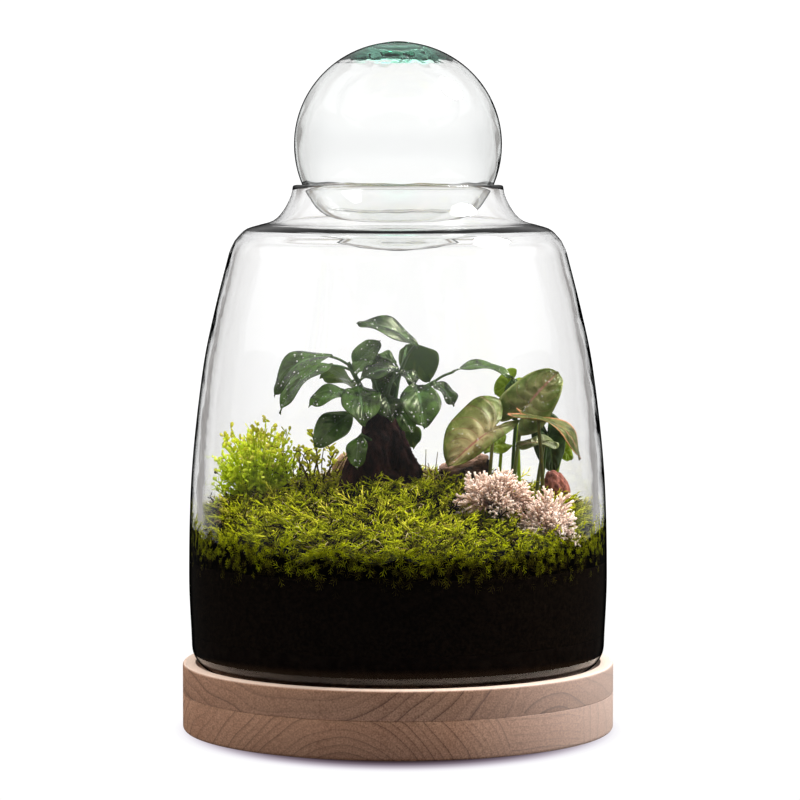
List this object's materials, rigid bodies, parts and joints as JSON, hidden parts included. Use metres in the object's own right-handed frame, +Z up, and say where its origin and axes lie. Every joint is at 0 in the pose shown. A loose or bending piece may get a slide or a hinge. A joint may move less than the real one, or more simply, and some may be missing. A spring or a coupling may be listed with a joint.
{
  "type": "closed plant terrarium",
  "caption": "Blown glass jar with a hollow glass ball as its stopper on a round recessed beech board, planted with moss, a young fig, an arrowhead plant, a creeper and lichen.",
  "frame": {"origin": "centre of the board's underside, which it stands on", "axes": "+Z up, -Y towards the front of the picture, +X to its right"},
  "size_m": [0.25, 0.25, 0.3975],
  "materials": {
    "beech": "sanded and left bare, matt",
    "jar_glass": "mouth-blown, polished by fire, faintly wavy inside",
    "seal_glass": "thick blown glass with an aqua tint",
    "lava_gravel": "rough crushed lava",
    "potting_soil": "moist fine peat soil, almost black",
    "moss": "living feather moss, matt",
    "fig_bark": "smooth dark bark with rough ridges",
    "fig_leaf": "glossy green leaf",
    "arrow_leaf": "soft satin leaf, pink and green",
    "creeper_leaf": "small matt yellow-green leaves",
    "lichen": "dry coral-like lichen, pinkish cream",
    "bark": "rough dry bark",
    "red_stone": "rough red-brown stone",
    "brown_stone": "weathered light brown stone",
    "dry_wood": "dry dark twigs"
  },
  "bodies": {
    "root": {"base_board_lower": "beech", "base_board_upper": "beech", "glass_jar": "jar_glass", "stopper_ball": "jar_glass", "stopper_seal": "seal_glass", "drainage_gravel": "lava_gravel", "potting_soil": "potting_soil", "moss_carpet": "moss", "fig_trunk": "fig_bark", "fig_shoot_left": "fig_leaf", "fig_shoot_top": "fig_leaf", "fig_shoot_crown": "fig_leaf", "fig_shoot_right": "fig_leaf", "fig_shoot_front": "fig_leaf", "fig_shoot_low_left": "fig_leaf", "fig_shoot_low_right": "fig_leaf", "arrow_leaf_1": "arrow_leaf", "arrow_leaf_2": "arrow_leaf", "arrow_leaf_3": "arrow_leaf", "arrow_leaf_4": "arrow_leaf", "arrow_leaf_5": "arrow_leaf", "arrow_leaf_6": "arrow_leaf", "arrow_leaf_7": "arrow_leaf", "arrow_leaf_8": "arrow_leaf", "arrow_leaf_9": "arrow_leaf", "creeper_bush": "creeper_leaf", "creeper_sprig_1": "creeper_leaf", "creeper_sprig_2": "creeper_leaf", "creeper_sprig_3": "creeper_leaf", "lichen_left": "lichen", "lichen_right": "lichen", "bark_chip": "bark", "stone_red": "red_stone", "stone_brown": "brown_stone", "dry_twig_1": "dry_wood", "dry_twig_2": "dry_wood", "dry_twig_3": "dry_wood"}
  },
  "joints": []
}
